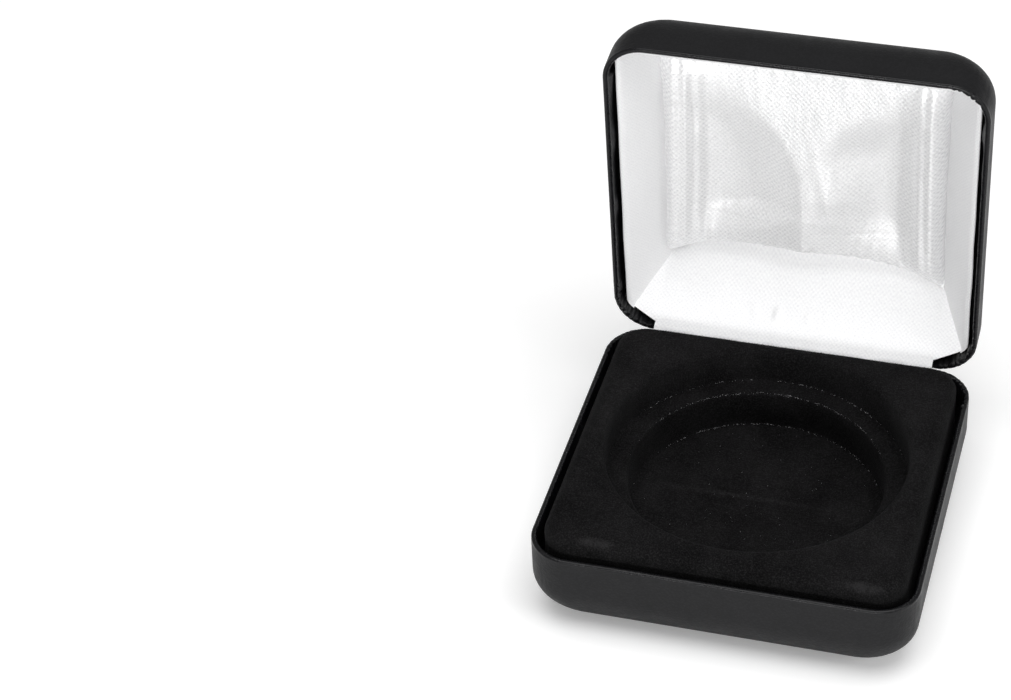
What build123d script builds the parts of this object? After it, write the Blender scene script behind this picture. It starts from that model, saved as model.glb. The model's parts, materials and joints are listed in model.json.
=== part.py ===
"""Clamshell coin display case: steel pans in black leatherette, a flocked tray with a
two-step coin recess, and a satin-lined lid on a pinned back hinge.

Frame: the origin is the centre of the base's flat underside, +Z is up, the hinge is at
+Y and the front of the case faces -Y. The case is modelled open, as it stands at rest.
"""
from build123d import *
from math import cos, radians, sin
import os

os.makedirs("parts", exist_ok=True)

# ------------------------------------------------------------------ sizes, mm
# The two halves, over the leatherette
corner_radius = 9.0
base_height = 19.5
lid_height = 21.5
base_wall = 8.5
lid_wall = 5.5
open_angle = 85.0
rim_gap = 0.4

# Skins of each half: leatherette over pressed steel, turned in over the rim
cover_thickness = 0.35
shell_thickness = 0.45
hem_depth = 5.2
rim_round = 0.45

# Hinge, inside the back walls
hinge_length = 40.0
hinge_inset = 0.4
knuckle_count = 5
knuckle_gap = 0.12
pin_clearance = 0.05
pin_end = 0.4
pin_chamfer = 0.15
leaf_thickness = 0.4
leaf_height = 8.0
swing_clearance = 0.35
spring_width = 12.0
spring_thickness = 0.25
spring_clearance = 0.1
spring_hook = 0.4
rivet_spacing = 26.0
rivet_radius = 0.8
rivet_head_radius = 1.5
rivet_head_height = 0.3
rivet_drop = 3.6
rivet_clearance = 0.03

# Flocked tray: the recess takes a ring-type coin capsule of either of two sizes. A land
# is the tray's top from the recess to the tray's side.
tray_land = 5.5
tray_back_land = 3.5
tray_rise = 3.5
tray_inset = 2.8
tray_edge_radius = 2.6
tray_skirt_bottom = 6.0
flock_thickness = 0.6
tray_thickness = 0.8
large_seat_radius = 32.2
large_seat_depth = 8.2
small_seat_radius = 27.4
small_seat_depth = 8.7
seat_mouth_radius = 0.6
packing_margin = 1.5
packing_corner = 5.0
packing_clearance = 0.1

# Lid lining: four satin-covered card walls that lean in from the rim to a board
satin_thickness = 0.25
card_thickness = 0.7
lining_inset = 1.95
lining_lean = 26.0
lining_start = 1.2
side_lining_start = 2.2
card_setback = 0.6
lining_corner_gap = 0.15
hinge_satin_start = 0.6
hinge_card_start = 3.4
mitre_gap = 0.05
gusset_inner = (9.2, 1.8)
gusset_outer = (3.2, 3.6)
board_thickness = 0.8
board_back_gap = 1.3
board_lap = 0.7
board_corner = 8.0
board_gap = 0.1
strip_thickness = 0.2
strip_drop = 5.0
strip_run = 0.55
strip_gap = 0.15

# Puffed pad: heights are measured from its board
pad_gap = 0.3
pad_skin = 0.35
pad_shoulder_height = 3.4
pad_roll_height = 5.2
pad_roll_inset = 3.0
pad_crest_height = 7.1
pad_drawn_in = 1.2
crest_width = 4.6
crest_length = 23.0
crest_waist = 1.4

# ------------------------------------------------------- places that follow
# The case is as wide and deep as the tray that the larger recess needs
case_width = 2 * (large_seat_radius + tray_land + tray_inset)
case_depth = 2 * (large_seat_radius + tray_inset) + tray_land + tray_back_land
seat_shift = (tray_land - tray_back_land) / 2

# The walls are straight from the rim, and the far edge is one full round from there
base_edge_radius = base_height - base_wall
lid_edge_radius = lid_height - lid_wall
rim_thickness = 2 * cover_thickness + shell_thickness
inner_skin = cover_thickness + shell_thickness
tray_top = base_height + tray_rise
board_depth = lid_height - inner_skin - board_back_gap - board_thickness
packing_inset = base_edge_radius + packing_margin
ledge_z = tray_top - large_seat_depth
floor_z = ledge_z - small_seat_depth

hinge_y = case_depth / 2 - hinge_inset
hinge_z = base_height + rim_gap / 2
leaf_face = rim_thickness + leaf_thickness
knuckle_radius = leaf_face - hinge_inset
pin_radius = knuckle_radius - leaf_thickness - pin_clearance
leaf_start = knuckle_radius + swing_clearance - rim_gap / 2
knuckle_length = (hinge_length - (knuckle_count - 1) * knuckle_gap) / knuckle_count
knuckle_pitch = knuckle_length + knuckle_gap
spring_radius = knuckle_radius + spring_clearance
strip_radius = spring_radius + spring_thickness + strip_gap
strip_width = case_width - 2 * gusset_inner[0]

lining_slope = sin(radians(lining_lean)) / cos(radians(lining_lean))
satin_across = satin_thickness / cos(radians(lining_lean))
card_across = card_thickness / cos(radians(lining_lean))

# Both halves are drawn in one way: on a plane that lies on the rim, with +Z into the
# half and +Y towards the hinge. Opening turns the lid's plane about the hinge.
swing = radians(open_angle)
BASE = Plane(origin=(0, 0, base_height), x_dir=(-1, 0, 0), z_dir=(0, 0, -1))
LID = Plane(
    origin=(
        0,
        hinge_y * (1 - cos(swing)) + rim_gap / 2 * sin(swing),
        hinge_z + hinge_y * sin(swing) + rim_gap / 2 * cos(swing),
    ),
    x_dir=(1, 0, 0),
    z_dir=(0, sin(swing), cos(swing)),
)
# Seen along the hinge: X to the back, Y up, the hinge's axis at the origin
HINGE = Plane(origin=(0, hinge_y, hinge_z), x_dir=(0, 1, 0), z_dir=(1, 0, 0))


def lining_at(depth):
    """How far the lining's face stands in from the case's side at a depth."""
    return lining_inset + lining_slope * depth


# -------------------------------------------------------------- shared forms
def outline(inset, radius=None, mode=Mode.ADD):
    """The plan of the case, drawn in by `inset`."""
    RectangleRounded(
        case_width - 2 * inset,
        case_depth - 2 * inset,
        corner_radius - inset if radius is None else radius,
        mode=mode,
    )


def pan(half, height, edge_radius, inset, above=0.0, mode=Mode.ADD):
    """A solid pan with a rounded far edge, drawn in by `inset` all round."""
    wall = height - edge_radius
    radius = edge_radius - inset
    with BuildSketch(half.offset(-above)) as face:
        outline(inset)
    extrude(face.sketch, amount=above + wall, mode=mode)
    sections = []
    for turn in range(0, 91, 15):
        stand_in = inset + radius * (1 - cos(radians(turn)))
        with BuildSketch(half.offset(wall + radius * sin(radians(turn)))) as face:
            outline(stand_in, corner_radius - inset)
        sections.append(face.sketch)
    loft(sections, mode=mode)


def ring(half, outer, inner, depth):
    """A ring that follows the rim, down to `depth`."""
    with BuildSketch(half) as face:
        outline(outer)
        outline(inner, mode=Mode.SUBTRACT)
    extrude(face.sketch, amount=depth)


def side_of(half, across):
    """A plane seen along the hinge: X towards the hinge, Y into the half."""
    return Plane(half.origin, x_dir=half.y_dir, z_dir=half.x_dir).offset(across)


def back_of(half, inset):
    """A plane on the back wall: X across, Y into the half, +Z towards the front."""
    return Plane(
        half.from_local_coords((0, case_depth / 2 - inset, 0)),
        x_dir=half.x_dir,
        z_dir=-half.y_dir,
    )


def hinge_notch(half):
    """The cut-out that lets the barrel sit between the two rims."""
    with BuildSketch(half) as face:
        with Locations((0, case_depth / 2)):
            Rectangle(hinge_length + 2 * (pin_end + swing_clearance), 4 * rim_thickness)
    extrude(face.sketch, amount=leaf_start, mode=Mode.SUBTRACT)


def rivet_discs(half, inset, radius):
    """Two discs on the back wall, where the rivets of one half go."""
    with BuildSketch(back_of(half, inset)) as face:
        with Locations((-rivet_spacing / 2, rivet_drop), (rivet_spacing / 2, rivet_drop)):
            Circle(radius)
    return face.sketch


def rivet_holes(half, start):
    holes = rivet_discs(half, start, rivet_radius + rivet_clearance)
    extrude(holes, amount=leaf_face, mode=Mode.SUBTRACT)


def covering(half, height, edge_radius):
    """Leatherette over the outside, round the rim and down the inside."""
    pan(half, height, edge_radius, 0)
    pan(half, height, edge_radius, cover_thickness, above=1, mode=Mode.SUBTRACT)
    ring(half, 0, rim_thickness, cover_thickness)
    ring(half, inner_skin, rim_thickness, hem_depth)
    rim_edges = edges().group_by(Axis(half.origin, half.z_dir))[0]
    fillet(rim_edges, rim_round)
    hinge_notch(half)
    rivet_holes(half, inner_skin)


def pressing(half, height, edge_radius):
    """The steel pan inside the leatherette."""
    pan(half, height, edge_radius, cover_thickness)
    pan(half, height, edge_radius, inner_skin, above=1, mode=Mode.SUBTRACT)
    with BuildSketch(half) as face:
        outline(0)
    extrude(face.sketch, amount=cover_thickness, mode=Mode.SUBTRACT)
    hinge_notch(half)
    rivet_holes(half, 0)


def hinge_leaf(half, first):
    """A plate on the inside of the back wall, rolled into every second knuckle."""
    inner = case_depth / 2 - leaf_face
    with BuildSketch(side_of(half, -hinge_length / 2)) as face:
        with Locations((inner, leaf_start)):
            Rectangle(leaf_thickness, leaf_height - leaf_start, align=(Align.MIN, Align.MIN))
    extrude(face.sketch, amount=hinge_length)
    for index in range(first, knuckle_count, 2):
        with BuildSketch(side_of(half, index * knuckle_pitch - hinge_length / 2)) as face:
            with Locations((inner, -rim_gap / 2)):
                Rectangle(leaf_thickness, leaf_start + rim_gap, align=(Align.MIN, Align.MIN))
            with Locations((hinge_y, -rim_gap / 2)):
                Circle(knuckle_radius)
                Circle(pin_radius + pin_clearance, mode=Mode.SUBTRACT)
        extrude(face.sketch, amount=knuckle_length)
    rivet_holes(half, inner_skin)


def rivets(half):
    """Two rivets from the steel's outer face to a head on the leaf."""
    shanks = rivet_discs(half, cover_thickness, rivet_radius)
    extrude(shanks, amount=leaf_face - cover_thickness)
    heads = rivet_discs(half, leaf_face, rivet_head_radius)
    extrude(heads, amount=rivet_head_height)


def wrap_over_barrel(radius, thickness, width, drop, run, hook=0.0):
    """A strip that lies along both leaves and bends round the barrel."""
    lid_way = Vector(sin(swing), cos(swing))
    lid_out = Vector(-cos(swing), sin(swing))
    outer = radius + thickness
    with BuildSketch(HINGE.offset(-width / 2)) as face:
        with BuildLine():
            bend = CenterArc((0, 0), radius, 180, -open_angle)
            lid_end = bend @ 1 + lid_way * run
            ends = [lid_end, lid_end + lid_out * thickness]
            if hook:
                toe = lid_end - lid_out * hook
                ends = [lid_end, toe, toe + lid_way * thickness]
                ends.append(lid_end + lid_out * thickness + lid_way * thickness)
            Polyline(bend @ 1, *ends)
            back = CenterArc((0, 0), outer, 180 - open_angle, open_angle)
            Line(ends[-1], back @ 0)
            feet = [(-outer, -drop), (-radius, -drop)]
            if hook:
                feet = [
                    (-outer, -drop - thickness),
                    (hook - radius, -drop - thickness),
                    (hook - radius, -drop),
                    (-radius, -drop),
                ]
            Polyline(back @ 1, *feet, bend @ 0)
        make_face()
    extrude(face.sketch, amount=width)


# --------------------------------------------------------------------- base
with BuildPart() as base_cover:
    covering(BASE, base_height, base_edge_radius)

with BuildPart() as base_shell:
    pressing(BASE, base_height, base_edge_radius)

with BuildPart() as base_hinge_leaf:
    hinge_leaf(BASE, 0)

with BuildPart() as base_rivets:
    rivets(BASE)

with BuildPart() as hinge_pin:
    with BuildSketch(HINGE.offset(-hinge_length / 2 - pin_end)):
        Circle(pin_radius)
    extrude(amount=hinge_length + 2 * pin_end)
    chamfer(edges().filter_by(GeomType.CIRCLE), pin_chamfer)

with BuildPart() as snap_spring:
    reach = leaf_height + rim_gap / 2 + spring_clearance
    wrap_over_barrel(
        spring_radius, spring_thickness, spring_width, reach, reach, spring_hook
    )


def tray_block(offset):
    """The tray's outside as a solid block, drawn in by `offset`."""
    with BuildSketch(Plane.XY.offset(tray_skirt_bottom)) as face:
        outline(tray_inset + offset)
    extrude(face.sketch, amount=tray_top - offset - tray_skirt_bottom)
    fillet(edges().group_by(Axis.Z)[-1], tray_edge_radius - offset)


def tray_skin(block, hollow, offset, thickness):
    """One layer of the tray: a rounded cap, and a stepped cup hung from it."""
    add(block)
    add(hollow, mode=Mode.SUBTRACT)
    inner = offset + thickness
    with BuildSketch(Plane.XY.offset(tray_top)) as face:
        with Locations((0, seat_shift)):
            Circle(large_seat_radius + offset)
    extrude(face.sketch, amount=-inner - thickness, mode=Mode.SUBTRACT)
    with BuildSketch(Plane.XZ.offset(-seat_shift)) as face:
        with BuildLine():
            Polyline(
                (0, floor_z - offset),
                (small_seat_radius + offset, floor_z - offset),
                (small_seat_radius + offset, ledge_z - offset),
                (large_seat_radius + offset, ledge_z - offset),
                (large_seat_radius + offset, tray_top - offset),
                (large_seat_radius + inner, tray_top - offset),
                (large_seat_radius + inner, ledge_z - inner),
                (small_seat_radius + inner, ledge_z - inner),
                (small_seat_radius + inner, floor_z - inner),
                (0, floor_z - inner),
                close=True,
            )
        make_face()
    revolve(face.sketch, axis=Axis((0, seat_shift, 0), (0, 0, 1)))


with BuildPart() as tray_outside:
    tray_block(0)

with BuildPart() as tray_between:
    tray_block(flock_thickness)

with BuildPart() as tray_inside:
    tray_block(flock_thickness + tray_thickness)

with BuildPart() as tray_flock:
    tray_skin(tray_outside.part, tray_between.part, 0, flock_thickness)
    lips = edges().filter_by(GeomType.CIRCLE).group_by(Axis.Z)[-1]
    fillet(lips.group_by(SortBy.RADIUS)[-1], seat_mouth_radius)

with BuildPart() as tray_form:
    tray_skin(tray_between.part, tray_inside.part, flock_thickness, tray_thickness)

with BuildPart() as tray_packing:
    with BuildSketch(Plane.XY.offset(inner_skin)):
        outline(packing_inset, packing_corner)
    under_tray = floor_z - flock_thickness - tray_thickness - packing_clearance
    extrude(amount=under_tray - inner_skin)

# ---------------------------------------------------------------------- lid
with BuildPart() as lid_cover:
    covering(LID, lid_height, lid_edge_radius)

with BuildPart() as lid_shell:
    pressing(LID, lid_height, lid_edge_radius)

with BuildPart() as lid_hinge_leaf:
    hinge_leaf(LID, 1)

with BuildPart() as lid_rivets:
    rivets(LID)


def funnel(start, end, behind, mode=Mode.ADD):
    """A square funnel whose face lies `behind` the lining's face."""
    sections = []
    for depth in (start, end):
        stand_in = lining_at(depth) - behind
        with BuildSketch(LID.offset(depth)) as face:
            Rectangle(case_width - 2 * stand_in, case_depth - 2 * stand_in)
        sections.append(face.sketch)
    loft(sections, ruled=True, mode=mode)


def wall_layer(side, start, front, back):
    """One layer of one wall of the lining, mitred to its neighbours and trimmed to
    the case's rounded corners. `side` is the wall's way along the lid's X or Y."""
    end = board_depth - board_gap
    funnel(start, end, back)
    funnel(start, end, front, mode=Mode.SUBTRACT)
    x, y = case_width / 2, case_depth / 2
    run = min(x, y) - 1
    if side[0]:
        far = [(x, y - mitre_gap), (x - run, y - run - mitre_gap)]
        wedge = far + [(a, -b) for a, b in reversed(far)]
        wedge = [(side[0] * a, b) for a, b in wedge]
    else:
        far = [(x - mitre_gap, y), (x - run - mitre_gap, y - run)]
        wedge = far + [(-a, b) for a, b in reversed(far)]
        wedge = [(a, side[1] * b) for a, b in wedge]
    with BuildSketch(LID) as face:
        with BuildLine():
            Polyline(*wedge, close=True)
        make_face()
    extrude(face.sketch, amount=board_depth, mode=Mode.INTERSECT)
    with BuildSketch(LID) as face:
        outline(rim_thickness + lining_corner_gap)
    extrude(face.sketch, amount=board_depth, mode=Mode.INTERSECT)
    add(lid_room.part, mode=Mode.INTERSECT)


def gussets():
    """The corners of the hinge-side satin are cut away on the slant."""
    for way in (-1, 1):
        inner_x = way * (case_width / 2 - gusset_inner[0])
        outer_x = way * (case_width / 2 - gusset_outer[0])
        with BuildSketch(LID) as face:
            with BuildLine():
                Polyline(
                    (inner_x, case_depth / 2 - gusset_inner[1]),
                    (outer_x, case_depth / 2 - gusset_outer[1]),
                    (way * case_width / 2, case_depth / 2 - gusset_outer[1]),
                    (way * case_width / 2, case_depth / 2),
                    (inner_x, case_depth / 2),
                    close=True,
                )
            make_face()
        extrude(face.sketch, amount=board_depth, mode=Mode.SUBTRACT)


with BuildPart() as lid_room:
    pan(LID, lid_height, lid_edge_radius, inner_skin + lining_corner_gap)

# Each wall's way along X or Y, and the depths where its satin and its card start
WALLS = {
    "left": ((-1, 0), side_lining_start, side_lining_start + card_setback),
    "right": ((1, 0), side_lining_start, side_lining_start + card_setback),
    "front": ((0, -1), lining_start, lining_start + card_setback),
    "hinge": ((0, 1), hinge_satin_start, hinge_card_start),
}
lining = {}
for name, (side, satin_start, card_start) in WALLS.items():
    with BuildPart() as satin:
        wall_layer(side, satin_start, 0, satin_across)
        if name == "hinge":
            gussets()
    with BuildPart() as card:
        wall_layer(side, card_start, satin_across, satin_across + card_across)
    lining[f"lining_satin_{name}"] = satin.part
    lining[f"lining_card_{name}"] = card.part

with BuildPart() as hinge_satin_strip:
    wrap_over_barrel(strip_radius, strip_thickness, strip_width, strip_drop, strip_run)

with BuildPart() as pad_board:
    board_inset = lining_at(board_depth) - board_lap
    with BuildSketch(LID.offset(board_depth)):
        outline(board_inset, board_corner)
    extrude(amount=board_thickness)
    add(lid_room.part, mode=Mode.INTERSECT)


def pillow_section(depth, half_x, half_y, draw_x, draw_y):
    """A four-cornered outline whose sides bow in by draw_x and draw_y."""
    with BuildSketch(LID.offset(depth)) as face:
        with BuildLine():
            ThreePointArc((half_x, -half_y), (half_x - draw_x, 0), (half_x, half_y))
            ThreePointArc((half_x, half_y), (0, half_y - draw_y), (-half_x, half_y))
            ThreePointArc((-half_x, half_y), (draw_x - half_x, 0), (-half_x, -half_y))
            ThreePointArc((-half_x, -half_y), (0, draw_y - half_y), (half_x, -half_y))
        make_face()
    return face.sketch


def pillow(skin, mode=Mode.ADD):
    """The puffed pad, `skin` inside its surface: a rolled edge with drawn-in sides, and
    four ridges that run from the corners to a narrow crest."""
    sections = []
    shoulder = board_depth - pad_shoulder_height
    for depth, inset in (
        (board_depth, lining_at(board_depth)),
        (shoulder, lining_at(shoulder)),
        (board_depth - pad_roll_height, lining_at(shoulder) + pad_roll_inset),
    ):
        half_x = case_width / 2 - inset - pad_gap - skin
        half_y = case_depth / 2 - inset - pad_gap - skin
        level = min(depth + skin, board_depth)
        sections.append(pillow_section(level, half_x, half_y, pad_drawn_in, pad_drawn_in))
    half_x, half_y = crest_width / 2, crest_length / 2
    level = board_depth - pad_crest_height + skin
    sections.append(pillow_section(level, half_x, half_y, crest_waist, crest_waist / 2))
    loft(sections, ruled=True, mode=mode)


with BuildPart() as pad_satin:
    pillow(0)
    pillow(pad_skin, mode=Mode.SUBTRACT)

with BuildPart() as pad_wadding:
    pillow(pad_skin)

# ------------------------------------------------------------------- export
pieces = {
    "base_cover": base_cover.part,
    "base_shell": base_shell.part,
    "base_hinge_leaf": base_hinge_leaf.part,
    "base_rivets": base_rivets.part,
    "hinge_pin": hinge_pin.part,
    "snap_spring": snap_spring.part,
    "tray_flock": tray_flock.part,
    "tray_form": tray_form.part,
    "tray_packing": tray_packing.part,
    "lid_cover": lid_cover.part,
    "lid_shell": lid_shell.part,
    "lid_hinge_leaf": lid_hinge_leaf.part,
    "lid_rivets": lid_rivets.part,
    **lining,
    "hinge_satin_strip": hinge_satin_strip.part,
    "pad_board": pad_board.part,
    "pad_satin": pad_satin.part,
    "pad_wadding": pad_wadding.part,
}
for name, piece in pieces.items():
    piece.label = name
    export_step(piece, f"parts/{name}.step")
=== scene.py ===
"""Coin display case: leatherette covers, a velvet tray and a satin-lined lid."""
import json
from math import atan2, cos, exp, hypot, pi, radians, sin, sqrt, tan, tau

import bpy
import numpy as np
from mathutils import Matrix, Vector, noise


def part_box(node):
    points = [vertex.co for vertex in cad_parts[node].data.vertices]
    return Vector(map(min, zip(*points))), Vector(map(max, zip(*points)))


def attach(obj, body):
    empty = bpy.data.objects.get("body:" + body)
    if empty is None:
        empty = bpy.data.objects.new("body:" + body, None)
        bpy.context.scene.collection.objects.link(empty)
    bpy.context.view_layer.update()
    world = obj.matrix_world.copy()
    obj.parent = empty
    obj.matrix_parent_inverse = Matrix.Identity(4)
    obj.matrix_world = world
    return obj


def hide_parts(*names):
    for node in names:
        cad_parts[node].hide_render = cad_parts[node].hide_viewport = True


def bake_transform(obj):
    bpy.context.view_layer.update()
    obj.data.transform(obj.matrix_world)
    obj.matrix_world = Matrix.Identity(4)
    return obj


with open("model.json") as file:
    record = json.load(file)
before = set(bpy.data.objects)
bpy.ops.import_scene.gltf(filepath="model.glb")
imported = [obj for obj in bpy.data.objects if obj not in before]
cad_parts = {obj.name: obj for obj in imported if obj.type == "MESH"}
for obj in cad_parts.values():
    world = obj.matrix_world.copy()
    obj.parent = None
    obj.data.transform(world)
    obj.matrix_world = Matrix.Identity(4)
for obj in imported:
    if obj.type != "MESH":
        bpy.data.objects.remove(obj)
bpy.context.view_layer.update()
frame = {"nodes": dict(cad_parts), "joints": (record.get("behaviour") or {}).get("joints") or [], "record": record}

MM = 0.001
NODES = frame["nodes"]

# ---------------------------------------------------------------- the frame
# Both halves are drawn in one way, in millimetres: x across, y towards the hinge, and
# the depth from the half's own rim.
_, base_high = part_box("base_cover")
_, tray_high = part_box("tray_flock")
HINGE_JOINT = frame["joints"][0]
HINGE = Vector(HINGE_JOINT["pos_m"]) / MM
OPEN = radians(HINGE_JOINT["range_deg"][1])
HALF_X = base_high[0] / MM
HALF_Y = base_high[1] / MM
RIM_Z = base_high[2] / MM
RIM_GAP = 2 * (HINGE.z - RIM_Z)
TRAY_RISE = tray_high[2] / MM - RIM_Z
TRAY_INSET = HALF_X - tray_high[0] / MM
SEATS = {m["name"]: m for m in frame["record"]["mounts"] if m["kind"] == "bore"}
LARGE_SEAT = SEATS["large_capsule_seat"]["dims"]["r_mm"]
SMALL_SEAT = SEATS["small_capsule_seat"]["dims"]["r_mm"]
SEAT_Y = SEATS["large_capsule_seat"]["pos_m"][1] / MM

# The covers: heights, the radius of the edge round each flat face, and the corners
LID_HEIGHT = 21.5
BASE_EDGE = 11.0
LID_EDGE = 16.0
CORNER = 9.0
# The rim: pan and two layers of leatherette, how far down the hem is turned in, and the
# dip beside the hinge's barrel
RIM_THICKNESS = 1.15
RIM_ROUND = 0.42
INNER_SKIN = 0.8
HEM_DEPTH = 5.2
NOTCH_HALF = 20.75
NOTCH_DEPTH = 1.3
# The tray: depths below its top, and the rounding of its edges and of the seat's mouth
LEDGE_DEPTH = 8.2
FLOOR_DEPTH = 16.9
TRAY_EDGE = 2.6
MOUTH = 1.3
SEAT_FILLET = 0.6
# The lid's lining leans in from its edges to the board
LINING_INSET = 1.95
LINING_SLOPE = tan(radians(26))
BOARD_DEPTH = 18.6


def on_base(x, y, depth):
    """A point of the base, in metres."""
    return Vector((x, y, RIM_Z - depth)) * MM


def on_lid(x, y, depth):
    """A point of the lid, drawn shut and then turned open, in metres."""
    closed = Vector((x, y, RIM_Z + RIM_GAP + depth)) - HINGE
    return (HINGE + Matrix.Rotation(-OPEN, 3, "X") @ closed) * MM


def lining_at(depth):
    """How far the lining's face stands in from the side of the lid."""
    return LINING_INSET + LINING_SLOPE * depth


def smooth(value, low, high):
    """0 below `low`, 1 above `high`, and a smooth step between."""
    t = min(max((value - low) / (high - low), 0.0), 1.0)
    return t * t * (3 - 2 * t)


def wobble(x, y=0.0, z=0.0, scale=1.0):
    """Smooth noise from -1 to 1."""
    return noise.noise(Vector((x, y, z)) / scale)


# ------------------------------------------------------------------- meshes
def placed(name, data):
    """A new object in the scene, with that mesh, lamp or camera."""
    made = bpy.data.objects.new(name, data)
    bpy.context.scene.collection.objects.link(made)
    return made


def skin(name, rows, closed=False, uv=None, cap=False, taut=None):
    """A smooth mesh through rows of points. `closed` joins each row into a ring, `cap`
    fills the last ring, and `taut` says how far each point's leather is stretched."""
    count = len(rows[0])
    points = [tuple(p) for row in rows for p in row]
    faces = []
    span = count if closed else count - 1
    for r in range(len(rows) - 1):
        for c in range(span):
            a, b = r * count + c, r * count + (c + 1) % count
            faces.append((a, b, b + count, a + count))
    if cap:
        last = (len(rows) - 1) * count
        faces.append(tuple(range(last, last + count)))
    mesh = bpy.data.meshes.new(name)
    mesh.from_pydata(points, [], faces)
    mesh.shade_smooth()
    if uv:
        flat = [pair for row in uv for pair in row]
        layer = mesh.uv_layers.new(name="cloth")
        corners = np.empty(len(mesh.loops), dtype=np.int32)
        mesh.loops.foreach_get("vertex_index", corners)
        layer.data.foreach_set("uv", np.array(flat, dtype=np.float32)[corners].ravel())
    if taut:
        layer = mesh.attributes.new("taut", "FLOAT", "POINT")
        layer.data.foreach_set("value", np.array(taut, dtype=np.float32).ravel())
    return placed(name, mesh)


def dress(piece, body, slot, finish, *nodes):
    """Puts a piece on its body, in its material, in the place of CAD nodes. A piece
    that bends between bodies has no body here."""
    piece.data.materials.clear()
    piece.data.materials.append(finish)
    if body:
        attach(piece, body)
    if nodes:
        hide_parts(*nodes)
    return piece


def repaint(finish, *nodes):
    """Gives CAD nodes another material."""
    for node in nodes:
        NODES[node].data.materials.clear()
        NODES[node].data.materials.append(finish)


def outline(inset, corner, step_side=150, step_corner=40):
    """A ring of (x, y) round the case's plan."""
    a, b = HALF_X - inset, HALF_Y - inset
    r = min(corner, a, b)
    centres = ((a - r, b - r), (r - a, b - r), (r - a, r - b), (a - r, r - b))
    ring = []
    for k, (cx, cy) in enumerate(centres):
        for i in range(step_corner):
            turn = radians(90 * (k + i / step_corner))
            ring.append((cx + r * cos(turn), cy + r * sin(turn)))
        turn = radians(90 * (k + 1))
        start = (cx + r * cos(turn), cy + r * sin(turn))
        nx, ny = centres[(k + 1) % 4]
        end = (nx + r * cos(turn), ny + r * sin(turn))
        for i in range(step_side):
            t = i / step_side
            ring.append(tuple(p + (q - p) * t for p, q in zip(start, end)))
    return ring


# ---------------------------------------------------------------- materials
class Finish:
    """A Principled material, with short ways to add its nodes."""

    def __init__(self, name, **sockets):
        self.material = bpy.data.materials.new(name)
        self.material.use_nodes = True
        self.tree = self.material.node_tree
        self.shader = self.tree.nodes["Principled BSDF"]
        for socket, value in sockets.items():
            self.shader.inputs[socket.replace("_", " ")].default_value = value

    def node(self, kind, inputs=None, **settings):
        made = self.tree.nodes.new(kind)
        for key, value in settings.items():
            setattr(made, key, value)
        for key, value in (inputs or {}).items():
            if isinstance(value, bpy.types.NodeSocket):
                self.tree.links.new(value, made.inputs[key])
            else:
                made.inputs[key].default_value = value
        return made

    def link(self, output, socket):
        self.tree.links.new(output, self.shader.inputs[socket])

    def place(self):
        """The point's place in the object, in metres."""
        return self.node("ShaderNodeTexCoord").outputs["Object"]

    def cloth(self):
        """The point's place on the flat cloth, in metres."""
        return self.node("ShaderNodeUVMap", uv_map="cloth").outputs["UV"]

    def speckle(self, vector, size_mm, detail=3.0, roughness=0.5):
        """Noise with features of about that size, from 0 to 1."""
        scale = 1 / (size_mm * MM)
        inputs = {"Vector": vector, "Scale": scale, "Detail": detail, "Roughness": roughness}
        return self.node("ShaderNodeTexNoise", inputs).outputs["Fac"]

    def stretched(self, vector, scale, location=(0, 0, 0)):
        """A place scaled along each axis and then moved."""
        inputs = {"Vector": vector, "Scale": scale, "Location": location}
        return self.node("ShaderNodeMapping", inputs).outputs["Vector"]

    def attribute(self, name):
        """A value that the mesh carries at its points."""
        return self.node("ShaderNodeAttribute", attribute_name=name).outputs["Fac"]

    def math(self, operation, first, second=0.5, third=0.5):
        inputs = {0: first, 1: second, 2: third}
        return self.node("ShaderNodeMath", inputs, operation=operation).outputs[0]

    def blend(self, *shares):
        """The sum of (value, share) pairs."""
        total = None
        for value, share in shares:
            part = value if share == 1 else self.math("MULTIPLY", value, share)
            total = part if total is None else self.math("ADD", total, part)
        return total

    def spread(self, value, low, high, to_low=0.0, to_high=1.0):
        """Stretches low..high to to_low..to_high, and holds it there."""
        inputs = {"Value": value, "From Min": low, "From Max": high}
        inputs |= {"To Min": to_low, "To Max": to_high}
        return self.node("ShaderNodeMapRange", inputs).outputs["Result"]

    def tint(self, factor, first, second):
        """A colour between two, by a factor from 0 to 1."""
        made = self.node("ShaderNodeMix", data_type="RGBA")
        self.tree.links.new(factor, made.inputs["Factor"])
        colours = [socket for socket in made.inputs if socket.type == "RGBA"]
        for socket, colour in zip(colours, (first, second)):
            socket.default_value = (*colour, 1)
        return [socket for socket in made.outputs if socket.type == "RGBA"][0]

    def bump(self, height, depth_mm, strength=1.0, over=None):
        """A normal from a height, on top of another normal if there is one."""
        inputs = {"Height": height, "Distance": depth_mm * MM, "Strength": strength}
        if over is not None:
            inputs["Normal"] = over
        return self.node("ShaderNodeBump", inputs).outputs["Normal"]


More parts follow.
